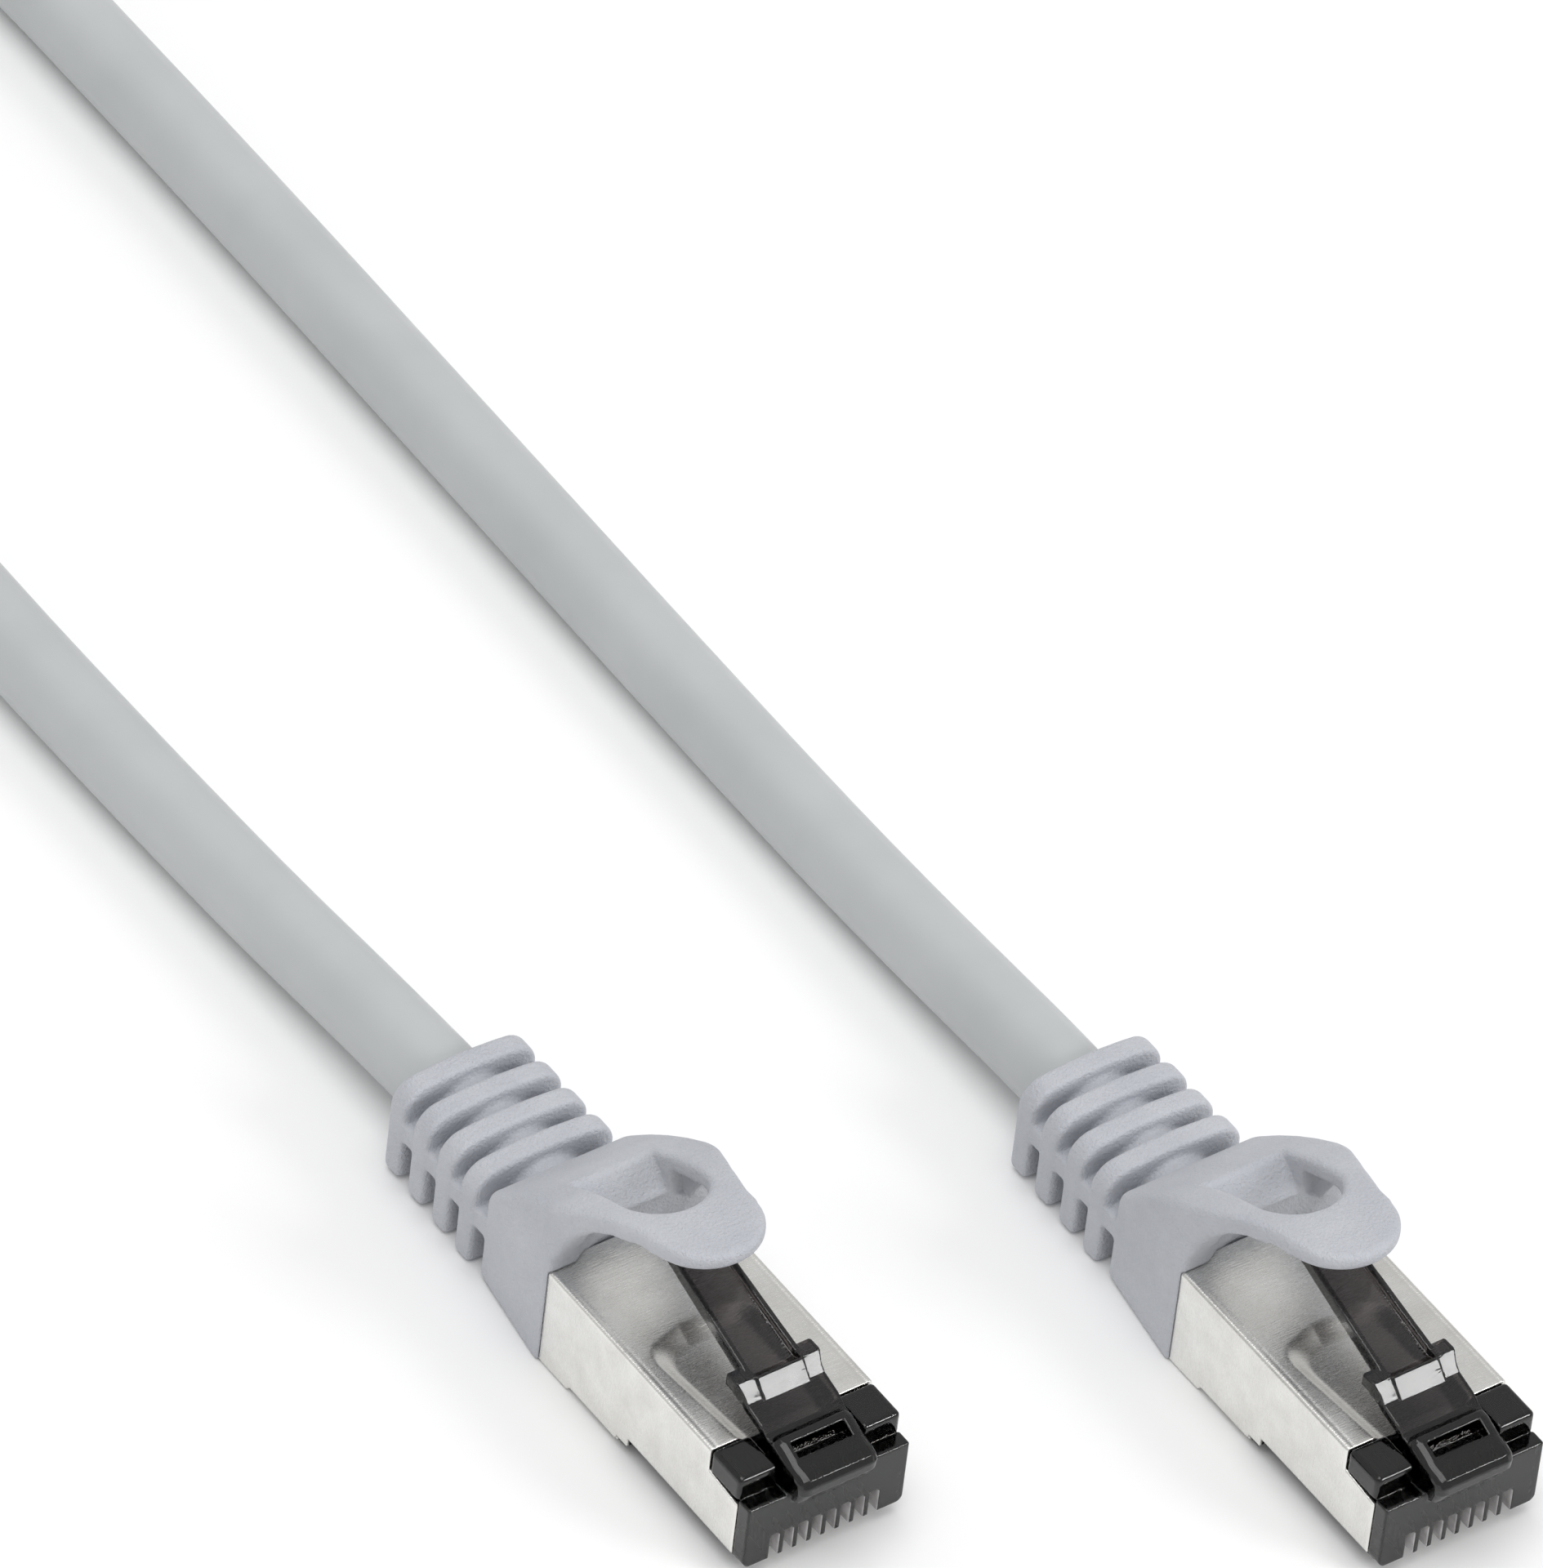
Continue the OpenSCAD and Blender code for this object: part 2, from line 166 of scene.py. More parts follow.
# The angles, in degrees round the coil, over which the cord changes its turn or its layer
STEP_IN = (270, 325)
STEP_UP = (600, 660)
STEP_OUT = (900, 960)
LEAD_A = [
    (-16.3, 29.3, 3.7), (-16.4, 34, 3.6), (-16.5, 40, 3.3), (-16.7, 48, 2.9),
    (-16.9, 57, 2.7), (-17.1, 66, 2.7), (-17.2, 74, 2.7), (-17.2, 84, 2.7),
    (-17.5, 94, 2.7), (-18.4, 105.5, 2.7), (-20.2, 117, 2.7), (-23.1, 130, 2.8),
    (-26.1, 143, 3.0), (-28.2, 154, 3.3), (-29.2, 164, 3.5),
]
LEAD_B = [
    (16.3, 10.7, 3.7), (16.3, 15.5, 3.6), (16.3, 21, 3.3), (16.3, 29, 2.9),
    (16.3, 38, 2.7), (16.4, 54, 2.7), (16.6, 68, 2.7), (16.8, 82, 2.7),
    (17.0, 96, 2.7), (17.1, 109, 2.7), (17.1, 121, 2.7), (17.1, 129.5, 2.8),
    (17.7, 136.2, 3.5), (18.9, 140.1, 4.6), (20.4, 143.7, 6.1), (22.0, 147.3, 7.5),
    (23.7, 151.1, 8.4), (27.0, 157.8, 8.8), (28.8, 164.9, 8.9),
]


def ease(value, start, end):
    """Nought before start, one after end, and smooth between them."""
    t = min(max((value - start) / (end - start), 0), 1)
    return t * t * (3 - 2 * t)


def coil_points():
    """Three and a half turns, clockwise from the left: out, in, in on top, and out on top."""
    turns, steps = 3.5, 20
    points = []
    for k in range(int(turns * steps) + 1):
        angle = 360 * k / steps
        inward = ease(angle, *STEP_IN) - ease(angle, *STEP_OUT)
        radius = COIL_OUT - (COIL_OUT - COIL_IN) * inward
        z = LAYER_LOW + (LAYER_HIGH - LAYER_LOW) * ease(angle, *STEP_UP)
        a = math.radians(angle)
        points.append((-radius * math.cos(a), COIL_Y + radius * math.sin(a), z))
    return points


def make_cable(material):
    """The whole cord as one curve, from boot to boot."""
    route = LEAD_A + coil_points() + LEAD_B[::-1]
    curve = bpy.data.curves.new("cable", "CURVE")
    curve.dimensions = "3D"
    curve.bevel_depth = CABLE_D / 2 * MM
    curve.bevel_resolution = 9
    curve.resolution_u = 8
    curve.use_fill_caps = True
    spline = curve.splines.new("BEZIER")
    spline.bezier_points.add(len(route) - 1)
    for point, place in zip(spline.bezier_points, route):
        point.co = Vector(place) * MM
        point.handle_left_type = point.handle_right_type = "AUTO"
    # the cable leaves both boots straight
    start, finish = spline.bezier_points[0], spline.bezier_points[-1]
    start.handle_right_type = finish.handle_left_type = "FREE"
    start.handle_right = start.co + Vector((0, 1.6, 0)) * MM
    finish.handle_left = finish.co + Vector((0, 1.6, 0)) * MM
    cable = bpy.data.objects.new("cable", curve)
    bpy.context.collection.objects.link(cable)
    curve.materials.append(material)
    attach(cable, "root")
    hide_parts("cable_lead_a", "cable_lead_b", "cable_coil")
    return cable, route


# ---------------------------------------------------------------- materials

class Nodes:
    """A short way to build one material's nodes."""

    def __init__(self, name):
        self.material = bpy.data.materials.new(name)
        self.material.use_nodes = True
        self.tree = self.material.node_tree
        self.shader = self.tree.nodes["Principled BSDF"]

    def add(self, kind, **values):
        node = self.tree.nodes.new("ShaderNode" + kind)
        for key, value in values.items():
            if hasattr(node, key):
                setattr(node, key, value)
            else:
                node.inputs[key.replace("_", " ")].default_value = value
        return node

    def link(self, source, target):
        self.tree.links.new(source, target)

    def set(self, **values):
        for key, value in values.items():
            self.shader.inputs[key.replace("_", " ")].default_value = value

    def place(self, scale=(1, 1, 1)):
        """The surface's own coordinates in millimetres, stretched by scale."""
        where = self.add("TexCoord")
        mapping = self.add("Mapping")
        mapping.inputs["Scale"].default_value = [s / MM for s in scale]
        self.link(where.outputs["Object"], mapping.inputs["Vector"])
        return mapping.outputs["Vector"]

    def noise(self, scale, detail=2.0, vector=None, roughness=0.5):
        node = self.add("TexNoise", Scale=scale, Detail=detail, Roughness=roughness)
        self.link(vector or self.place(), node.inputs["Vector"])
        return node.outputs["Fac"]

    def ramp(self, source, low, high, start=0.0, end=1.0):
        """Turns a 0 to 1 value into a colour, or into a number when low and high are numbers."""
        node = self.add("ValToRGB")
        for element, position, value in zip(node.color_ramp.elements, (start, end), (low, high)):
            element.position = position
            element.color = (value,) * 3 + (1,) if isinstance(value, float) else value + (1,)
        self.link(source, node.inputs["Fac"])
        return node.outputs["Color"]

    def test(self, operation, value, limit):
        """One where value passes the test against limit, else nought."""
        node = self.add("Math", operation=operation)
        self.link(value, node.inputs[0])
        node.inputs[1].default_value = limit
        return node.outputs["Value"]

    def comb_walls(self):
        """One on the upright walls low on the nose, where a painted light, a lighter opaque grey, stands
        in for the light seen through the thin teeth and slots.
        """
        where = self.add("TexCoord")
        place = self.add("SeparateXYZ")
        facing = self.add("SeparateXYZ")
        self.link(where.outputs["Object"], place.inputs["Vector"])
        self.link(where.outputs["Normal"], facing.inputs["Vector"])
        low = self.test("LESS_THAN", place.outputs["Z"], COMB_TOP * MM)
        sideways = self.test("GREATER_THAN", self.test("ABSOLUTE", facing.outputs["X"], 0), 0.6)
        # both plugs lie equally far from the middle of the whole part
        plug_x = abs(plug_place("a").x)
        middle = self.test("SUBTRACT", self.test("ABSOLUTE", place.outputs["X"], 0), plug_x)
        inner = self.test("LESS_THAN", self.test("ABSOLUTE", middle, 0), COMB_HALF * MM)
        result = low
        for condition in (sideways, inner):
            node = self.add("Math", operation="MULTIPLY")
            self.link(result, node.inputs[0])
            self.link(condition, node.inputs[1])
            result = node.outputs["Value"]
        return result

    def bump(self, height, strength, distance, before=None):
        node = self.add("Bump", Strength=strength, Distance=distance * MM)
        self.link(height, node.inputs["Height"])
        if before is not None:
            self.link(before, node.inputs["Normal"])
        self.link(node.outputs["Normal"], self.shader.inputs["Normal"])
        return node.outputs["Normal"]


def jacket_material():
    """Smooth extruded jacket: a soft sheen, faint long waves and a trace of handling."""
    m = Nodes("jacket")
    tone = m.noise(0.12, 3)
    colour = m.ramp(tone, (0.47, 0.488, 0.492), (0.51, 0.527, 0.532), 0.3, 0.7)
    m.link(colour, m.shader.inputs["Base Color"])
    m.link(m.ramp(m.noise(0.8, 4), 0.36, 0.5, 0.3, 0.7), m.shader.inputs["Roughness"])
    waves = m.bump(m.noise(0.35, 2), 0.15, 0.08)
    m.bump(m.noise(9, 3), 0.05, 0.02, waves)
    return m.material


def boot_material():
    """Moulded elastomer with a fine eroded grain."""
    m = Nodes("boot")
    tone = m.noise(0.25, 3)
    colour = m.ramp(tone, (0.50, 0.515, 0.56), (0.56, 0.575, 0.615), 0.3, 0.7)
    m.link(colour, m.shader.inputs["Base Color"])
    m.set(Subsurface_Weight=0.06, Subsurface_Radius=(0.6, 0.6, 0.6), Subsurface_Scale=0.0008)
    m.link(m.ramp(m.noise(3, 4), 0.42, 0.56, 0.3, 0.7), m.shader.inputs["Roughness"])
    grain = m.bump(m.noise(5, 3, roughness=0.65), 1.0, 0.16)
    m.bump(m.noise(12, 2), 0.4, 0.03, grain)
    return m.material


def smoky_material(name):
    """Smoky polycarbonate: clear and glossy, but it takes up light, so it is black where it is thick."""
    m = Nodes(name)
    m.set(IOR=1.58, Specular_IOR_Level=0.12)
    tint = m.ramp(m.noise(0.3, 3), (0.80, 0.78, 0.78), (0.92, 0.90, 0.90), 0.3, 0.7)
    # painted light: the slot walls low on the nose turn a lighter opaque grey, as if lit through the
    # slots
    painted_slot_light = m.comb_walls()
    shade = m.ramp(m.noise(1.2, 3), (0.36, 0.35, 0.35), (0.62, 0.61, 0.61), 0.3, 0.7)
    colour = m.add("Mix", data_type="RGBA")
    m.link(painted_slot_light, colour.inputs["Factor"])
    m.link(tint, colour.inputs[MIX_A])
    m.link(shade, colour.inputs[MIX_B])
    m.link(colour.outputs[MIX_RESULT], m.shader.inputs["Base Color"])
    clear = m.add("Math", operation="SUBTRACT")
    clear.inputs[0].default_value = 1.0
    m.link(painted_slot_light, clear.inputs[1])
    m.link(clear.outputs["Value"], m.shader.inputs["Transmission Weight"])
    m.link(m.ramp(m.noise(0.8, 4), 0.03, 0.09, 0.35, 0.7), m.shader.inputs["Roughness"])
    m.bump(m.noise(0.9, 2), 0.1, 0.02)
    smoke = m.add("VolumeAbsorption", Color=(0.32, 0.29, 0.29, 1), Density=SMOKE)
    m.link(smoke.outputs["Volume"], m.tree.nodes["Material Output"].inputs["Volume"])
    return m.material


def shield_material():
    """Plated sheet: a fine cross grain on the top, a satin finish on the sides."""
    m = Nodes("shield")
    m.set(Metallic=1.0)
    grain = m.noise(1, 4, m.place((0.9, 10, 0.9)), 0.7)
    blotch = m.noise(0.5, 4)
    colour = m.ramp(blotch, (0.76, 0.75, 0.72), (0.86, 0.855, 0.83), 0.3, 0.7)
    m.link(colour, m.shader.inputs["Base Color"])
    m.link(m.ramp(grain, 0.18, 0.36, 0.1, 0.9), m.shader.inputs["Roughness"])
    m.bump(grain, 0.4, 0.05)
    return m.material


def plain_material(name, low, high, rough, grain=4.0, metallic=0.0, bump=0.1):
    """A moulded or metal finish with a slight change of tone and roughness over it."""
    m = Nodes(name)
    m.set(Metallic=metallic)
    m.link(m.ramp(m.noise(grain * 0.4, 3), low, high, 0.3, 0.7), m.shader.inputs["Base Color"])
    finish = m.ramp(m.noise(grain, 4), rough * 0.8, min(rough * 1.25, 1.0), 0.3, 0.7)
    m.link(finish, m.shader.inputs["Roughness"])
    m.bump(m.noise(grain * 2, 3), bump, 0.03)
    return m.material


def tie_material():
    """Hook-and-loop strap: a dense field of short loops."""
    m = Nodes("tie")
    loops = m.add("TexVoronoi", Scale=3.4)
    m.link(m.place(), loops.inputs["Vector"])
    colour = m.ramp(loops.outputs["Distance"], (0.035, 0.035, 0.038), (0.012, 0.012, 0.013), 0.0, 0.6)
    m.link(colour, m.shader.inputs["Base Color"])
    m.set(Roughness=0.9, Sheen_Weight=0.35)
    m.bump(loops.outputs["Distance"], 0.8, 0.12)
    return m.material


def floor_material():
    """A matt pale floor with a trace of unevenness."""
    m = Nodes("floor")
    m.set(Roughness=0.75, Specular_IOR_Level=0.2)
    colour = m.ramp(m.noise(0.01, 2), (0.95, 0.95, 0.95), (0.97, 0.97, 0.97))
    m.link(colour, m.shader.inputs["Base Color"])
    return m.material


# ---------------------------------------------------------------- solids from signed distances

class Grid:
    """A block of points, in a plug's millimetres. Each shape below gives its distance at each point."""

    def __init__(self, low, high, step):
        self.low = np.array(low, np.float32)
        self.step = step
        counts = np.ceil((np.array(high) - np.array(low)) / step).astype(int) + 1
        axes = [self.low[k] + step * np.arange(counts[k], dtype=np.float32) for k in range(3)]
        self.x = axes[0][:, None, None]
        self.y = axes[1][None, :, None]
        self.z = axes[2][None, None, :]


def both(a, b, soft=0.0):
    """Where a and b meet, with a fillet."""
    if soft <= 0:
        return np.maximum(a, b)
    h = np.clip(0.5 + 0.5 * (a - b) / soft, 0, 1)
    return b + (a - b) * h + soft * h * (1 - h)


def either(a, b, soft=0.0):
    """a and b together, with a fillet where they join."""
    return -both(-a, -b, soft)


def cut(a, b, soft=0.0):
    """a without b."""
    return both(a, -b, soft)


def box(g, low, high, soft=0.0):
    """A box whose edges are rounded by soft."""
    d = None
    for value, a, b in zip((g.x, g.y, g.z), low, high):
        side = np.abs(value - (a + b) / 2) - (b - a) / 2 + soft
        positive = np.maximum(side, 0) ** 2
        d = (side, positive) if d is None else (np.maximum(d[0], side), d[1] + positive)
    return np.minimum(d[0], 0) + np.sqrt(d[1]) - soft


def outline(u, v, points):
    """The distance to a closed outline, over two of the grid's axes."""
    best, inside = None, None
    for (u0, v0), (u1, v1) in zip(points, points[1:] + points[:1]):
        du, dv = u1 - u0, v1 - v0
        t = np.clip(((u - u0) * du + (v - v0) * dv) / (du * du + dv * dv + 1e-12), 0, 1)
        gap = (u - u0 - t * du) ** 2 + (v - v0 - t * dv) ** 2
        best = gap if best is None else np.minimum(best, gap)
        crosses = ((v0 <= v) != (v1 <= v)) & (u < u0 + (v - v0) * du / (dv if dv else 1e-12))
        inside = crosses if inside is None else inside ^ crosses
    return np.where(inside, -1, 1) * np.sqrt(best)


def round_rectangle(u, v, half_u, half_v, corner):
    """The distance to a rectangle round the middle, with round corners."""
    a = np.abs(u) - half_u + corner
    b = np.abs(v) - half_v + corner
    return np.minimum(np.maximum(a, b), 0) + np.hypot(np.maximum(a, 0), np.maximum(b, 0)) - corner


def nets(grid, distance):
    """The surface where distance is zero, as points and four-sided faces."""
    inside = distance < 0
    cells = tuple(n - 1 for n in distance.shape)
    total = np.zeros(cells + (3,), np.float32)
    count = np.zeros(cells, np.float32)
    crossings = []
    for axis in range(3):
        near, far = [slice(None)] * 3, [slice(None)] * 3
        near[axis], far[axis] = slice(0, -1), slice(1, None)
        a, b = distance[tuple(near)], distance[tuple(far)]
        crossed = inside[tuple(near)] != inside[tuple(far)]
        t = np.where(crossed, a / np.where(crossed, a - b, 1), 0)
        crossings.append((crossed, inside[tuple(near)]))
        u, v = [k for k in range(3) if k != axis]
        for du in (0, 1):
            for dv in (0, 1):
                part = [slice(None)] * 3
                part[u], part[v] = slice(du, du + cells[u]), slice(dv, dv + cells[v])
                c = crossed[tuple(part)]
                count += c
                total[..., axis] += t[tuple(part)]
                total[..., u] += c * du
                total[..., v] += c * dv
    used = count > 0
    index = np.full(cells, -1, np.int64)
    index[used] = np.arange(used.sum())
    corner = np.argwhere(used)
    points = (corner + total[used] / count[used][:, None]) * grid.step + grid.low
    faces = []
    for axis in range(3):
        crossed, solid = crossings[axis]
        u, v = [k for k in range(3) if k != axis]
        part = [slice(None)] * 3
        part[u], part[v] = slice(1, -1), slice(1, -1)
        at = np.argwhere(crossed[tuple(part)])
        out = solid[tuple(part)][tuple(at.T)]
        at[:, u] += 1
        at[:, v] += 1
        ring = []
        for du, dv in ((-1, -1), (0, -1), (0, 0), (-1, 0)):
            cell = at.copy()
            cell[:, u] += du
            cell[:, v] += dv
            ring.append(index[tuple(cell.T)])
        quad = np.stack(ring, 1)
        flip = out if axis != 1 else ~out
        quad[~flip] = quad[~flip][:, ::-1]
        faces.append(quad)
    return points, np.concatenate(faces)


def mesh_from(name, points, faces):
    """A Blender mesh from the points and faces that nets() gives."""
    mesh = bpy.data.meshes.new(name)
    mesh.from_pydata(points.tolist(), [], faces.tolist())
    mesh.update()
    return mesh


def lighter(mesh, ratio):
    """The same shape with this share of its faces."""
    holder = bpy.data.objects.new("holder", mesh)
    bpy.context.collection.objects.link(holder)
    modifier = holder.modifiers.new("lighter", "DECIMATE")
    modifier.decimate_type = "COLLAPSE"
    modifier.ratio = ratio
    graph = bpy.context.evaluated_depsgraph_get()
    done = bpy.data.meshes.new_from_object(holder.evaluated_get(graph))
    bpy.data.objects.remove(holder)
    return done


def put(name, mesh, end, material, body, nodes):
    """A piece of one plug, from its millimetres to its place."""
    data = mesh.copy()
    data.name = name
    data.transform(Matrix.Translation(plug_place(end)) @ Matrix.Scale(MM, 4))
    data.shade_smooth()
    data.materials.clear()
    data.materials.append(material)
    piece = bpy.data.objects.new(name, data)
    bpy.context.collection.objects.link(piece)
    if body is not None:
        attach(piece, body)
    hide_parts(*nodes)
    return piece


# ---------------------------------------------------------------- boot and hood

def hood_top(y):
    """The height of the boot's and the hood's top: a curve that rises and flattens towards the tip."""
    t = BOOT_BACK - y
    return 6.85 + 1.01 * t - 0.0355 * t ** 2 + 0.00028 * t ** 3


def boot_mesh():
    """The boot with its hood, ribs and webs, all one moulding."""
    g = Grid((-6.5, 5.9, -0.3), (6.5, 35.2, 16.0), 0.13)
    x, y, z = g.x, g.y, g.z
    side = np.abs(x)

    # seen from the side: the rising top, and the arch that leaves the shell free
    arch = [
        (FLAP_Y, -2), (FLAP_Y, 8.1), (16.4, 8.9), (16.0, 10.0), (15.45, 11.0), (14.5, 12.0),
        (13.2, 12.65), (11.4, 13.1), (9.2, 13.6), (6.5, 14.05), (4, 14.4),
    ]
    top = [(t, hood_top(t)) for t in np.arange(4, 29, 1.5)]
    profile = outline(y, z, arch + top + [(27.5, -2)])

    # seen from above: a round tip, widening to the boot, which narrows towards the ribs
    tip = np.hypot(x, y - TIP_Y) - TIP_R
    flank = (side - np.interp(y, HOOD_Y, HOOD_HALF).astype(np.float32)) * 0.95
    flank = both(flank, TIP_Y - y)
    hood = either(tip, flank, 0.5)
    low_half = 6.05 - 0.141 * (y - FLAP_Y)
    draft = 0.09 * np.maximum(z - SHELL_TOP, 0)
    walls = side - low_half + draft
    # lower down only the boot's own walls limit the width
    hood = hood - 1.3 * np.clip((9.6 - z) / 2.4, 0, 1)
    plan = both(walls, hood, 0.4)
    body = both(profile, plan, ROUND)
    body = both(body, y - BOOT_BACK, ROUND)
    # the underside rises a little towards the back
    body = both(body, 0.03 * (y - FLAP_Y) - z, 0.3)

    # the opening in the hood: straight at the back, round at the front, with a slope behind
    ring = np.hypot(x, y - RING_Y) - RING_R
    back = both(side - RING_R, np.maximum(RING_Y - y, y - OPENING_BACK))
    hole = either(ring, back)
    slope = (z - 9.5 - 0.8 * (y - 17.2)) * 0.78
    hole = cut(hole, both(slope, LIP_Y - y, 0.15), 0.15)
    body = cut(body, hole, 0.45)

    # the inner wall between the arms, set back under the slope's lip
    under = hood_top(y) - 1.2
    mouth = both(side - 3.8, np.maximum(y - LIP_Y, z - under), 0.15)
    body = cut(body, both(mouth, 9.15 - z), 0.15)
    hollow = np.hypot(x / 4.4, (y - 15.6) / 2.1) - 1
    body = cut(body, both(hollow * 1.6, z - 9.2, 0.15), 0.2)

    # ribs, their core and the webs that join them at mid-height
    for i, (low, half) in enumerate(zip(RIB_LOW, RIB_HALF)):
        middle = RIB_FIRST + RIB_T / 2 + i * RIB_STEP
        crown = RIB_CROWN * (1 - (x / half) ** 2)
        bottom = low - 1.2
        centre, tall = (RIB_TOP + bottom) / 2, (RIB_TOP - bottom) / 2
        face = round_rectangle(x, z - centre - crown * (z > centre), half, tall, 1.45)
        face = both(face, low - z, 0.5)
        rib = both(face, np.abs(y - middle) - RIB_T / 2, 0.4)
        body = either(body, rib, 0.1)
        web = box(g, (-half + 0.12, middle - 2.2, 3.2), (half - 0.12, middle, 4.75), 0.25)
        web = both(web, half - 1.3 - side)
        body = either(body, web, 0.2)
    core = np.hypot(x, z - CABLE_Z) - CORE_R
    core = both(core, np.maximum(23 - y, y - 34.2))
    body = either(body, core, 0.3)

    # room for the plug's rear end and for the cable
    room = SHELL_W / 2 + 0.02
    shell = box(g, (-room, FLAP_Y - 3, -2), (room, SHELL_BACK + 0.03, SHELL_TOP + 0.02))
    body = cut(body, shell)
    bore = np.hypot(x, z - CABLE_Z) - CABLE_D / 2
    body = cut(body, both(bore, 33.8 - y), 0.15)
    points, faces = nets(g, body)
    return lighter(mesh_from("boot", points, faces), 0.5)


# ---------------------------------------------------------------- plug

def housing_mesh():
    """The nose: a comb in front, a ledge, two side blocks, and the block that the latch springs from."""
    g = Grid((-6.0, -5.5, 0.6), (6.0, 3.0, 8.6), 0.062)
    x, y, z = g.x, g.y, g.z
    side = np.abs(x)
    front = box(g, (-NOSE_HALF, NOSE_FRONT, NOSE_LOW), (NOSE_HALF, SIDE_FRONT - 0.02, NOSE_TOP), 0.14)
    front = both(front, round_rectangle(x, z - 5, NOSE_HALF, 4.0, 0.7), 0.05)
    inner = box(g, (-INNER_HALF, -3.4, NOSE_LOW), (INNER_HALF, 6, NOSE_TOP - 0.05), 0.05)
    body = either(front, inner)
    # a side block stands on the ledge at each side of the latch's root
    block = box(g, (-NOSE_HALF, -3.05, 5.0), (NOSE_HALF, -0.02, SHELL_TOP), 0.35)
    block = both(block, BLOCK_FROM - side, 0.2)
    body = either(body, both(block, NOSE_TOP - 0.05 - z), 0.05)
    neck = box(g, (-INNER_HALF, -3.05, 4.5), (INNER_HALF, -0.02, 7.0), 0.1)
    body = either(body, both(neck, BLOCK_FROM - side, 0.1), 0.02)
    # the part inside the shell leaves room for the shell's hollow
    top = box(g, (-INNER_HALF, -0.5, 1.7), (INNER_HALF, 6, INNER_TOP), 0.05)
    pocket = box(g, (-4.3, -0.02, 6.55), (4.3, 8, 9))
    body = either(body, cut(top, pocket, 0.05))

    # the latch's root block stands out over the nose, round like a bull nose
    root = outline(y, z, [
        (-5.2, 6.3), (-5.25, 6.9), (-5.0, 7.35), (-4.4, 7.6), (-3.6, 7.75), (-2.35, 8.25),
        (-1.9, 8.28), (-1.38, 7.98), (-1.3, 7.2), (-1.5, 6.6), (-1.5, 5.2), (-4.6, 5.2), (-4.95, 5.8),
    ])
    root = both(root, side - ROOT_HALF, 0.8)
    body = either(body, root, 0.25)
    # the window across the root's top
    window = outline(y, z, [(-3.3, 9), (-3.45, 7.3), (-2.5, 7.3), (-2.35, 9)])
    body = cut(body, both(window, side - 1.9), 0.08)

    # for each contact a slot, open to the front and below, room for the blade, and its wire's channel
    for i in range(WIRES):
        at = (i - (WIRES - 1) / 2) * PITCH
        high = WIRE_ROWS[i % 2]
        slot = both(np.abs(x - at) - SLOT_HALF, np.maximum(z - SLOT_TOP, y - SLOT_BACK), 0.12)
        body = cut(body, slot, 0.1)
        blade = both(np.abs(x - at) - BLADE_HALF, np.maximum(z - high, np.maximum(y - 1.3, -2.6 - y)))
        body = cut(body, blade)
        channel = both(np.hypot(x - at, z - high) - WIRE_R, -2.2 - y)
        body = cut(body, channel)
    points, faces = nets(g, both(body, y - NOSE_END + 0.02))
    return with_rear(lighter(mesh_from("housing", points, faces), 0.45))


def with_rear(nose):
    """The nose and, behind it, the rest of the housing, which the shield hides."""
    node = frame["nodes"]["housing_a"]
    rear = bmesh.new()
    rear.from_mesh(node.data)
    to_plug = Matrix.Scale(1 / MM, 4) @ Matrix.Translation(-plug_place("a"))
    rear.transform(to_plug @ node.matrix_world)
    # it stays under the hollow in the shell's top
    for vertex in rear.verts:
        vertex.co.z = min(vertex.co.z, 6.5)
    everything = rear.verts[:] + rear.edges[:] + rear.faces[:]
    bmesh.ops.bisect_plane(
        rear, geom=everything, plane_co=(0, NOSE_END, 0), plane_no=(0, 1, 0), clear_inner=True,
    )
    bmesh.ops.holes_fill(rear, edges=[e for e in rear.edges if e.is_boundary])
    rear.from_mesh(nose)
    rear.to_mesh(nose)
    rear.free()
    return nose


def latch_mesh():
    """The latch: a sprung beam, a stepped head with shoulders, and a channelled tab."""
    g = Grid((-3.3, -4.1, 6.7), (3.3, 12.7, 12.9), 0.06)
    x, y, z = g.x, g.y, g.z
    side = np.abs(x)
    # seen from the side: from the root up to the steep front facet and the shoulders
    plate = outline(y, z, [
        (-1.75, 7.95), (-1.4, 7.98), (-0.65, 8.45), (0.6, 8.8), (1.6, 9.85), (2.8, 9.82),
        (2.8, 9.0), (2.05, 8.97), (1.0, 8.2), (-0.4, 7.87), (-1.5, 7.55),
    ])
    half = LATCH_HALF + SHOULDER * np.clip((y - 1.3) / 0.6, 0, 1)
    body = both(plate, side - half, 0.1)
    # the facet's side parts stand a little behind its middle
    step = outline(y, z, [(0.3, 8.9), (0.78, 8.8), (1.85, 9.92), (1.3, 10.2)])
    body = cut(body, both(step, FACET_HALF - side), 0.04)
    tab_half = TAB_HALF - TAB_TAPER * (y - 2.95)
    tab = outline(y, z, [
        (1.75, 9.8), (2.4, 9.85), (11.9, 12.3), (12.3, 12.15), (12.3, 11.6), (2.6, 8.85), (1.95, 8.85),
    ])
    body = either(body, both(tab, side - tab_half, 0.1), 0.1)
    channel = outline(y, z, [(1.72, 13), (1.8, 9.6), (2.4, 9.38), (10.9, 11.7), (11.4, 13)])
    body = cut(body, both(channel, side - tab_half + TAB_WALL), 0.06)
    points, faces = nets(g, body)
    return lighter(mesh_from("latch", points, faces), 0.45)


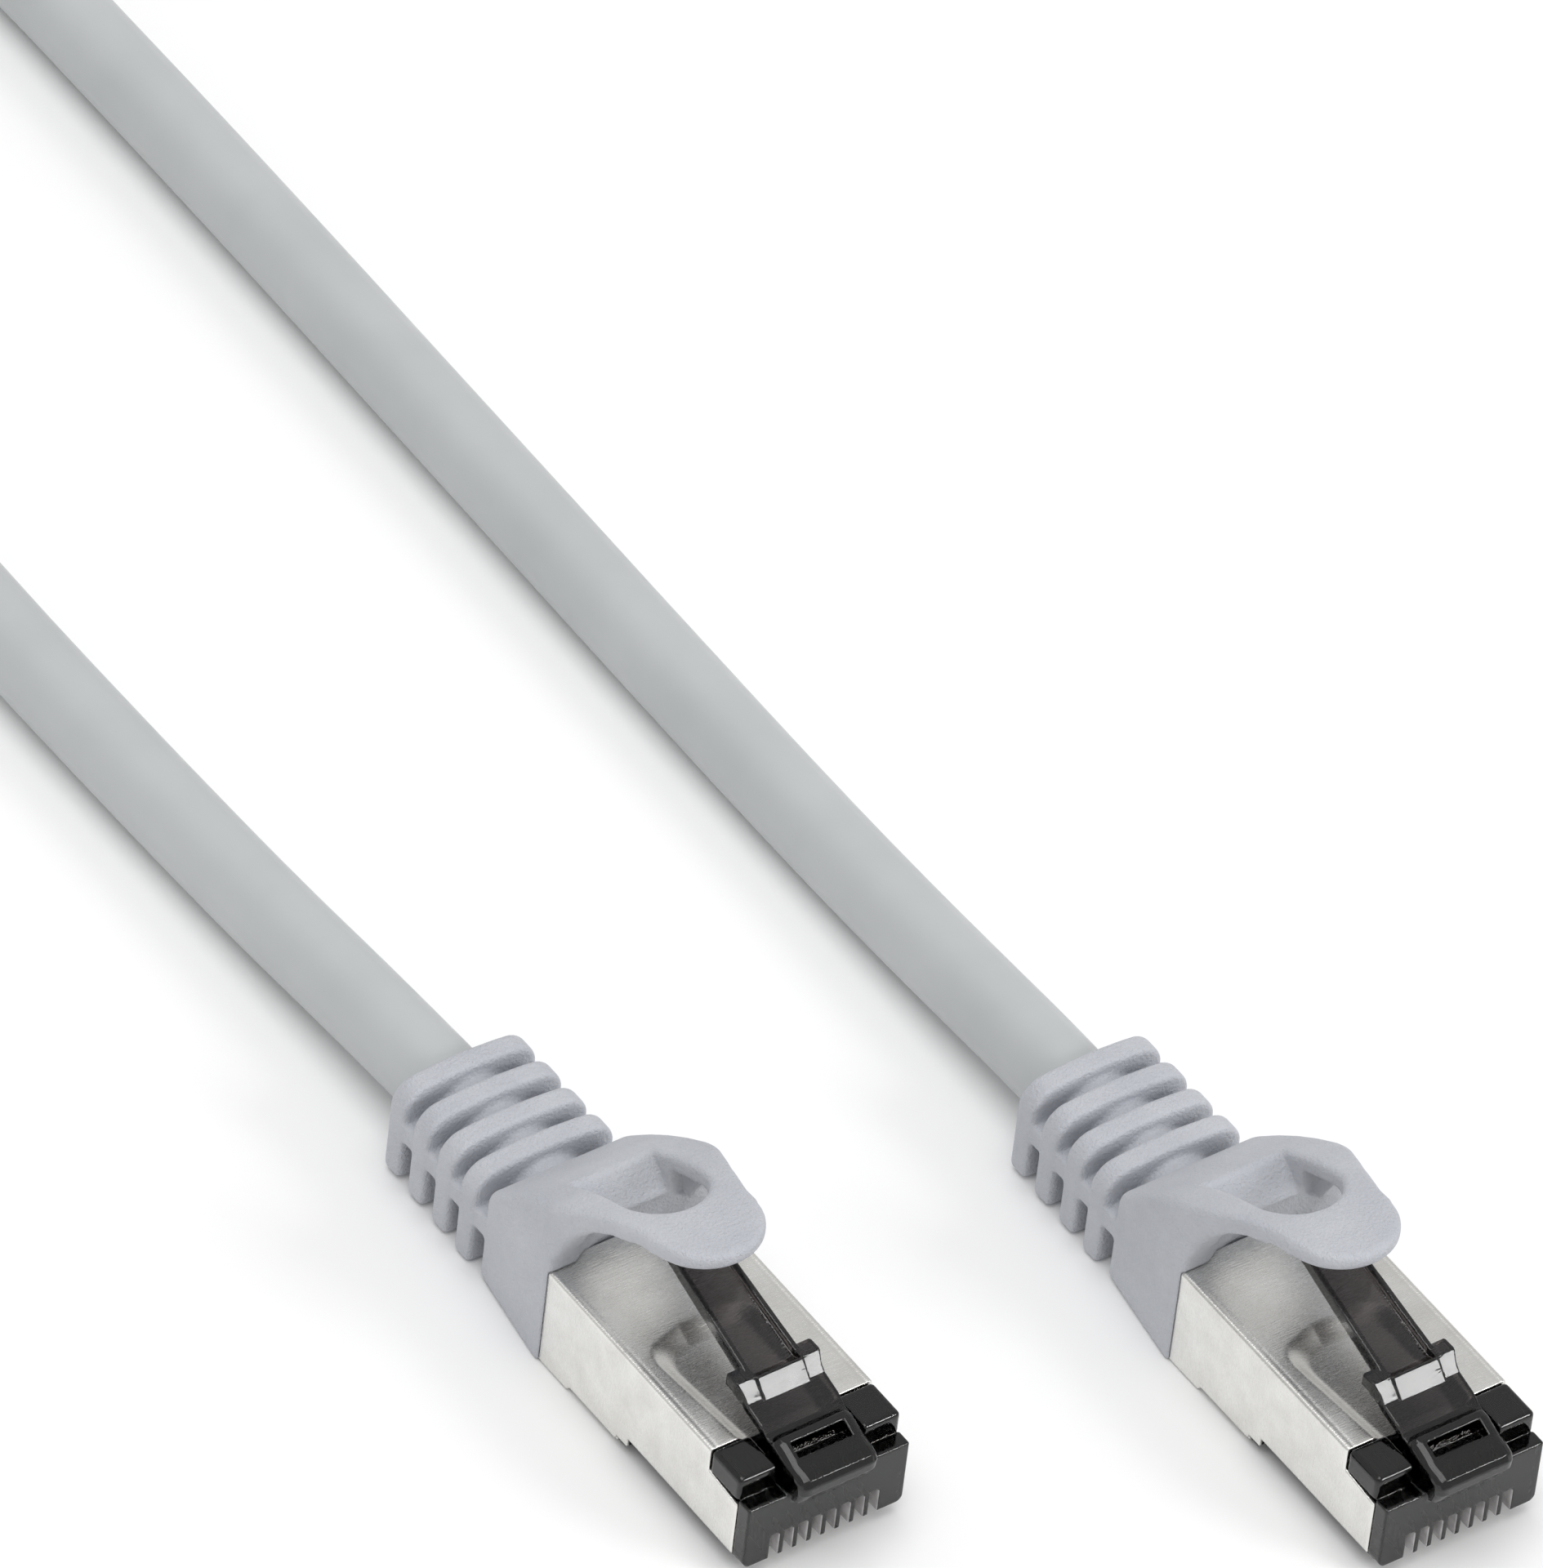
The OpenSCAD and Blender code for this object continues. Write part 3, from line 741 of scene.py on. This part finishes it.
def shell_mesh():
    """The folded shield: open below at the contacts, stepped down at the back, hollow on top."""
    g = Grid((-6.0, -3.3, -0.3), (6.0, 18.4, 7.7), 0.085)
    x, y, z = g.x, g.y, g.z
    side = np.abs(x)
    profile = outline(y, z, [
        (0, SHELL_TOP), (0, 5.75), (SIDE_FRONT, 5.4), (SIDE_FRONT, 1.4), (7.7, 1.4), (7.7, 0.76),
        (8.8, 0.76), (8.9, 0.45), (13.6, 0.45), (13.9, 0.1), (SHELL_BACK, 0.1), (SHELL_BACK, SHELL_TOP),
    ])
    fold = round_rectangle(x, z - 3.0, SHELL_W / 2, SHELL_TOP - 3.0, 0.28)
    body = both(profile, fold, 0.05)
    # the room inside, which the sheet goes round
    room = SHELL_W / 2 - SHEET
    inside = box(g, (-room, -6, -1), (room, 19, SHELL_TOP - SHEET), 0.1)
    # the pressed hollow under the latch: open to the front, with sloping walls
    side_wall = np.minimum(3.9 + 0.086 * y + x, 3.0 + 0.03 * y - x) / 1.25
    back_wall = (8.5 + 0.316 * np.clip(4.6 - side, 0, 3) - y) / 1.7
    t = np.clip(either(side_wall, back_wall, 0.9) + 0.12, 0, 1)
    sag = z + HOLLOW_DEPTH * t * t * (3 - 2 * t)
    # a fine line along each fold
    sag = sag + 0.05 * np.exp(-((side - 5.33) / 0.07) ** 2)
    body = both(body, sag - SHELL_TOP, 0.04)
    body = cut(body, both(inside, sag - SHELL_TOP + SHEET))
    # the sheet closes the plug from below at the back
    floor_strip = box(g, (-room, 8.9, 0.1), (room, SHELL_BACK, 0.1 + SHEET))
    body = either(body, floor_strip)
    points, faces = nets(g, body)
    return lighter(mesh_from("shell", points, faces), 0.35)


# ---------------------------------------------------------------- the strap round the coil

def strap_mesh():
    """A closed strap round the far side of the coil, with soft corners."""
    low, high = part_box("cable_tie")
    low, high = Vector(low) / MM, Vector(high) / MM
    g = Grid((-4.3, low.y - 0.5, -0.2), (4.3, high.y + 0.5, high.z + 0.3), 0.16)
    x, y, z = g.x, g.y, g.z
    middle_y, middle_z = (low.y + high.y) / 2, (low.z + high.z) / 2
    half_y, half_z = (high.y - low.y) / 2, (high.z - low.z) / 2
    outer = round_rectangle(y - middle_y, z - middle_z, half_y, half_z, 2.6)
    band = both(outer, -(outer + 0.75), 0.15)
    band = both(band, np.abs(x) - 3.9, 0.2)
    points, faces = nets(g, band)
    return lighter(mesh_from("tie", points * MM, faces), 0.6)


# ---------------------------------------------------------------- stage

def add_area(name, place, target, size, power):
    """A white area light at place, facing the target."""
    data = bpy.data.lights.new(name, "AREA")
    data.shape = "RECTANGLE"
    data.size, data.size_y = size
    data.energy = power
    light = bpy.data.objects.new(name, data)
    bpy.context.collection.objects.link(light)
    aim = (Vector(target) - Vector(place)).to_track_quat("-Z", "Y").to_matrix().to_4x4()
    light.matrix_world = Matrix.Translation(place) @ aim


def add_stage():
    """A pale floor, a bright room, a large light overhead and a small one for the latch's facet."""
    bpy.ops.mesh.primitive_plane_add(size=6, location=(0, 0.1, 0))
    floor = bpy.context.object
    floor.name = "floor"
    floor.data.materials.append(floor_material())
    world = bpy.data.worlds.new("room")
    bpy.context.scene.world = world
    world.use_nodes = True
    tree = world.node_tree
    background = tree.nodes["Background"]
    background.inputs["Color"].default_value = (1, 1, 1, 1)
    background.inputs["Strength"].default_value = 0.6
    add_area("overhead", (-0.15, 0.0, 1.2), (0, 0.04, 0), (1.0, 1.0), 6.6)
    add_area("latch_glint", (0.46, -0.75, 0.52), (0, 0, 0), (0.28, 0.28), 2.7)
    bpy.context.scene.view_settings.view_transform = "Standard"


# ---------------------------------------------------------------- assembly

add_camera()
materials = {
    "jacket": jacket_material(),
    "boot": boot_material(),
    "housing": smoky_material("housing"),
    "latch": smoky_material("latch"),
    "shield": shield_material(),
    "load_bar": plain_material("load_bar", (0.78, 0.79, 0.77), (0.88, 0.89, 0.87), 0.4),
    "foil": plain_material("foil", (0.72, 0.75, 0.8), (0.85, 0.87, 0.9), 0.22, 2, 1.0, 0.4),
    "braid": plain_material("braid", (0.55, 0.55, 0.55), (0.78, 0.78, 0.77), 0.4, 9, 1.0, 0.6),
    "contact": plain_material("contact", (0.85, 0.62, 0.24), (0.95, 0.74, 0.36), 0.22, 5, 1.0, 0.05),
    "white_wire": plain_material("white_wire", (0.80, 0.80, 0.78), (0.88, 0.88, 0.86), 0.4),
    "orange_wire": plain_material("orange_wire", (0.80, 0.30, 0.05), (0.90, 0.38, 0.09), 0.4),
    "green_wire": plain_material("green_wire", (0.05, 0.30, 0.10), (0.09, 0.40, 0.15), 0.4),
    "blue_wire": plain_material("blue_wire", (0.03, 0.13, 0.50), (0.06, 0.19, 0.62), 0.4),
    "brown_wire": plain_material("brown_wire", (0.16, 0.08, 0.04), (0.22, 0.12, 0.06), 0.4),
    "tie": tie_material(),
}
cable, route = make_cable(materials["jacket"])

slots = {part["node"]: part["material_slot"] for part in frame["record"]["subparts"]}
for name, node in frame["nodes"].items():
    node.data.materials.clear()
    node.data.materials.append(materials[slots[name]])

boot = boot_mesh()
housing = housing_mesh()
latch = latch_mesh()
shell = shell_mesh()
for end in ENDS:
    put("shield_" + end, shell, end, materials["shield"], "root", ["shield_shell_" + end])
    put("nose_" + end, housing, end, materials["housing"], "root", ["housing_" + end])
    put("latch_lever_" + end, latch, end, materials["latch"], "latch_" + end, ["latch_" + end])
    nodes = ["boot_" + end, "hood_" + end]
    piece = put("snagless_boot_" + end, boot, end, materials["boot"], None, nodes)
    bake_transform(piece)

strap_data = strap_mesh()
strap_data.shade_smooth()
strap_data.materials.append(materials["tie"])
strap = bpy.data.objects.new("strap", strap_data)
bpy.context.collection.objects.link(strap)
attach(strap, "root")
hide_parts("cable_tie")
add_stage()
